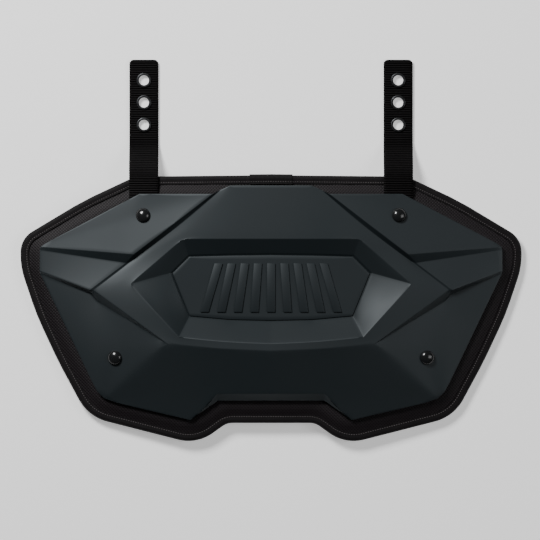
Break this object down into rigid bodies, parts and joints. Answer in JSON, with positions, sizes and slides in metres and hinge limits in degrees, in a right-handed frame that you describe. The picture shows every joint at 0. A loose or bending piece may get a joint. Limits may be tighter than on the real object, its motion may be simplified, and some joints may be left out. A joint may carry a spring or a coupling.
{
  "type": "football back plate",
  "caption": "Padded back plate for shoulder pads: faceted moulded shell riveted over a bound foam pad, with two webbing straps that end in rows of eyelets.",
  "frame": {"origin": "on the surface that the part lies on, under the middle of its box", "axes": "+X to the right of the front, +Y towards the strap ends, +Z out of the front of the shell"},
  "size_m": [0.432, 0.3288, 0.0367],
  "materials": {
    "mesh_cloth": "black ballistic mesh cloth over foam",
    "binding_tape": "black woven binding tape, one row of grey stitches",
    "moulded_shell": "satin slate grey moulding",
    "webbing": "black ribbed polyester webbing",
    "black_enamel": "gloss black enamel"
  },
  "bodies": {
    "root": {"back_pad": "mesh_cloth", "edge_binding": "binding_tape", "binding_lap": "binding_tape", "front_plate": "moulded_shell", "strap_left": "webbing", "strap_right": "webbing", "grommet_left_1": "black_enamel", "grommet_left_2": "black_enamel", "grommet_left_3": "black_enamel", "grommet_right_1": "black_enamel", "grommet_right_2": "black_enamel", "grommet_right_3": "black_enamel", "rivet_upper_left": "black_enamel", "rivet_upper_right": "black_enamel", "rivet_lower_left": "black_enamel", "rivet_lower_right": "black_enamel"}
  },
  "joints": []
}
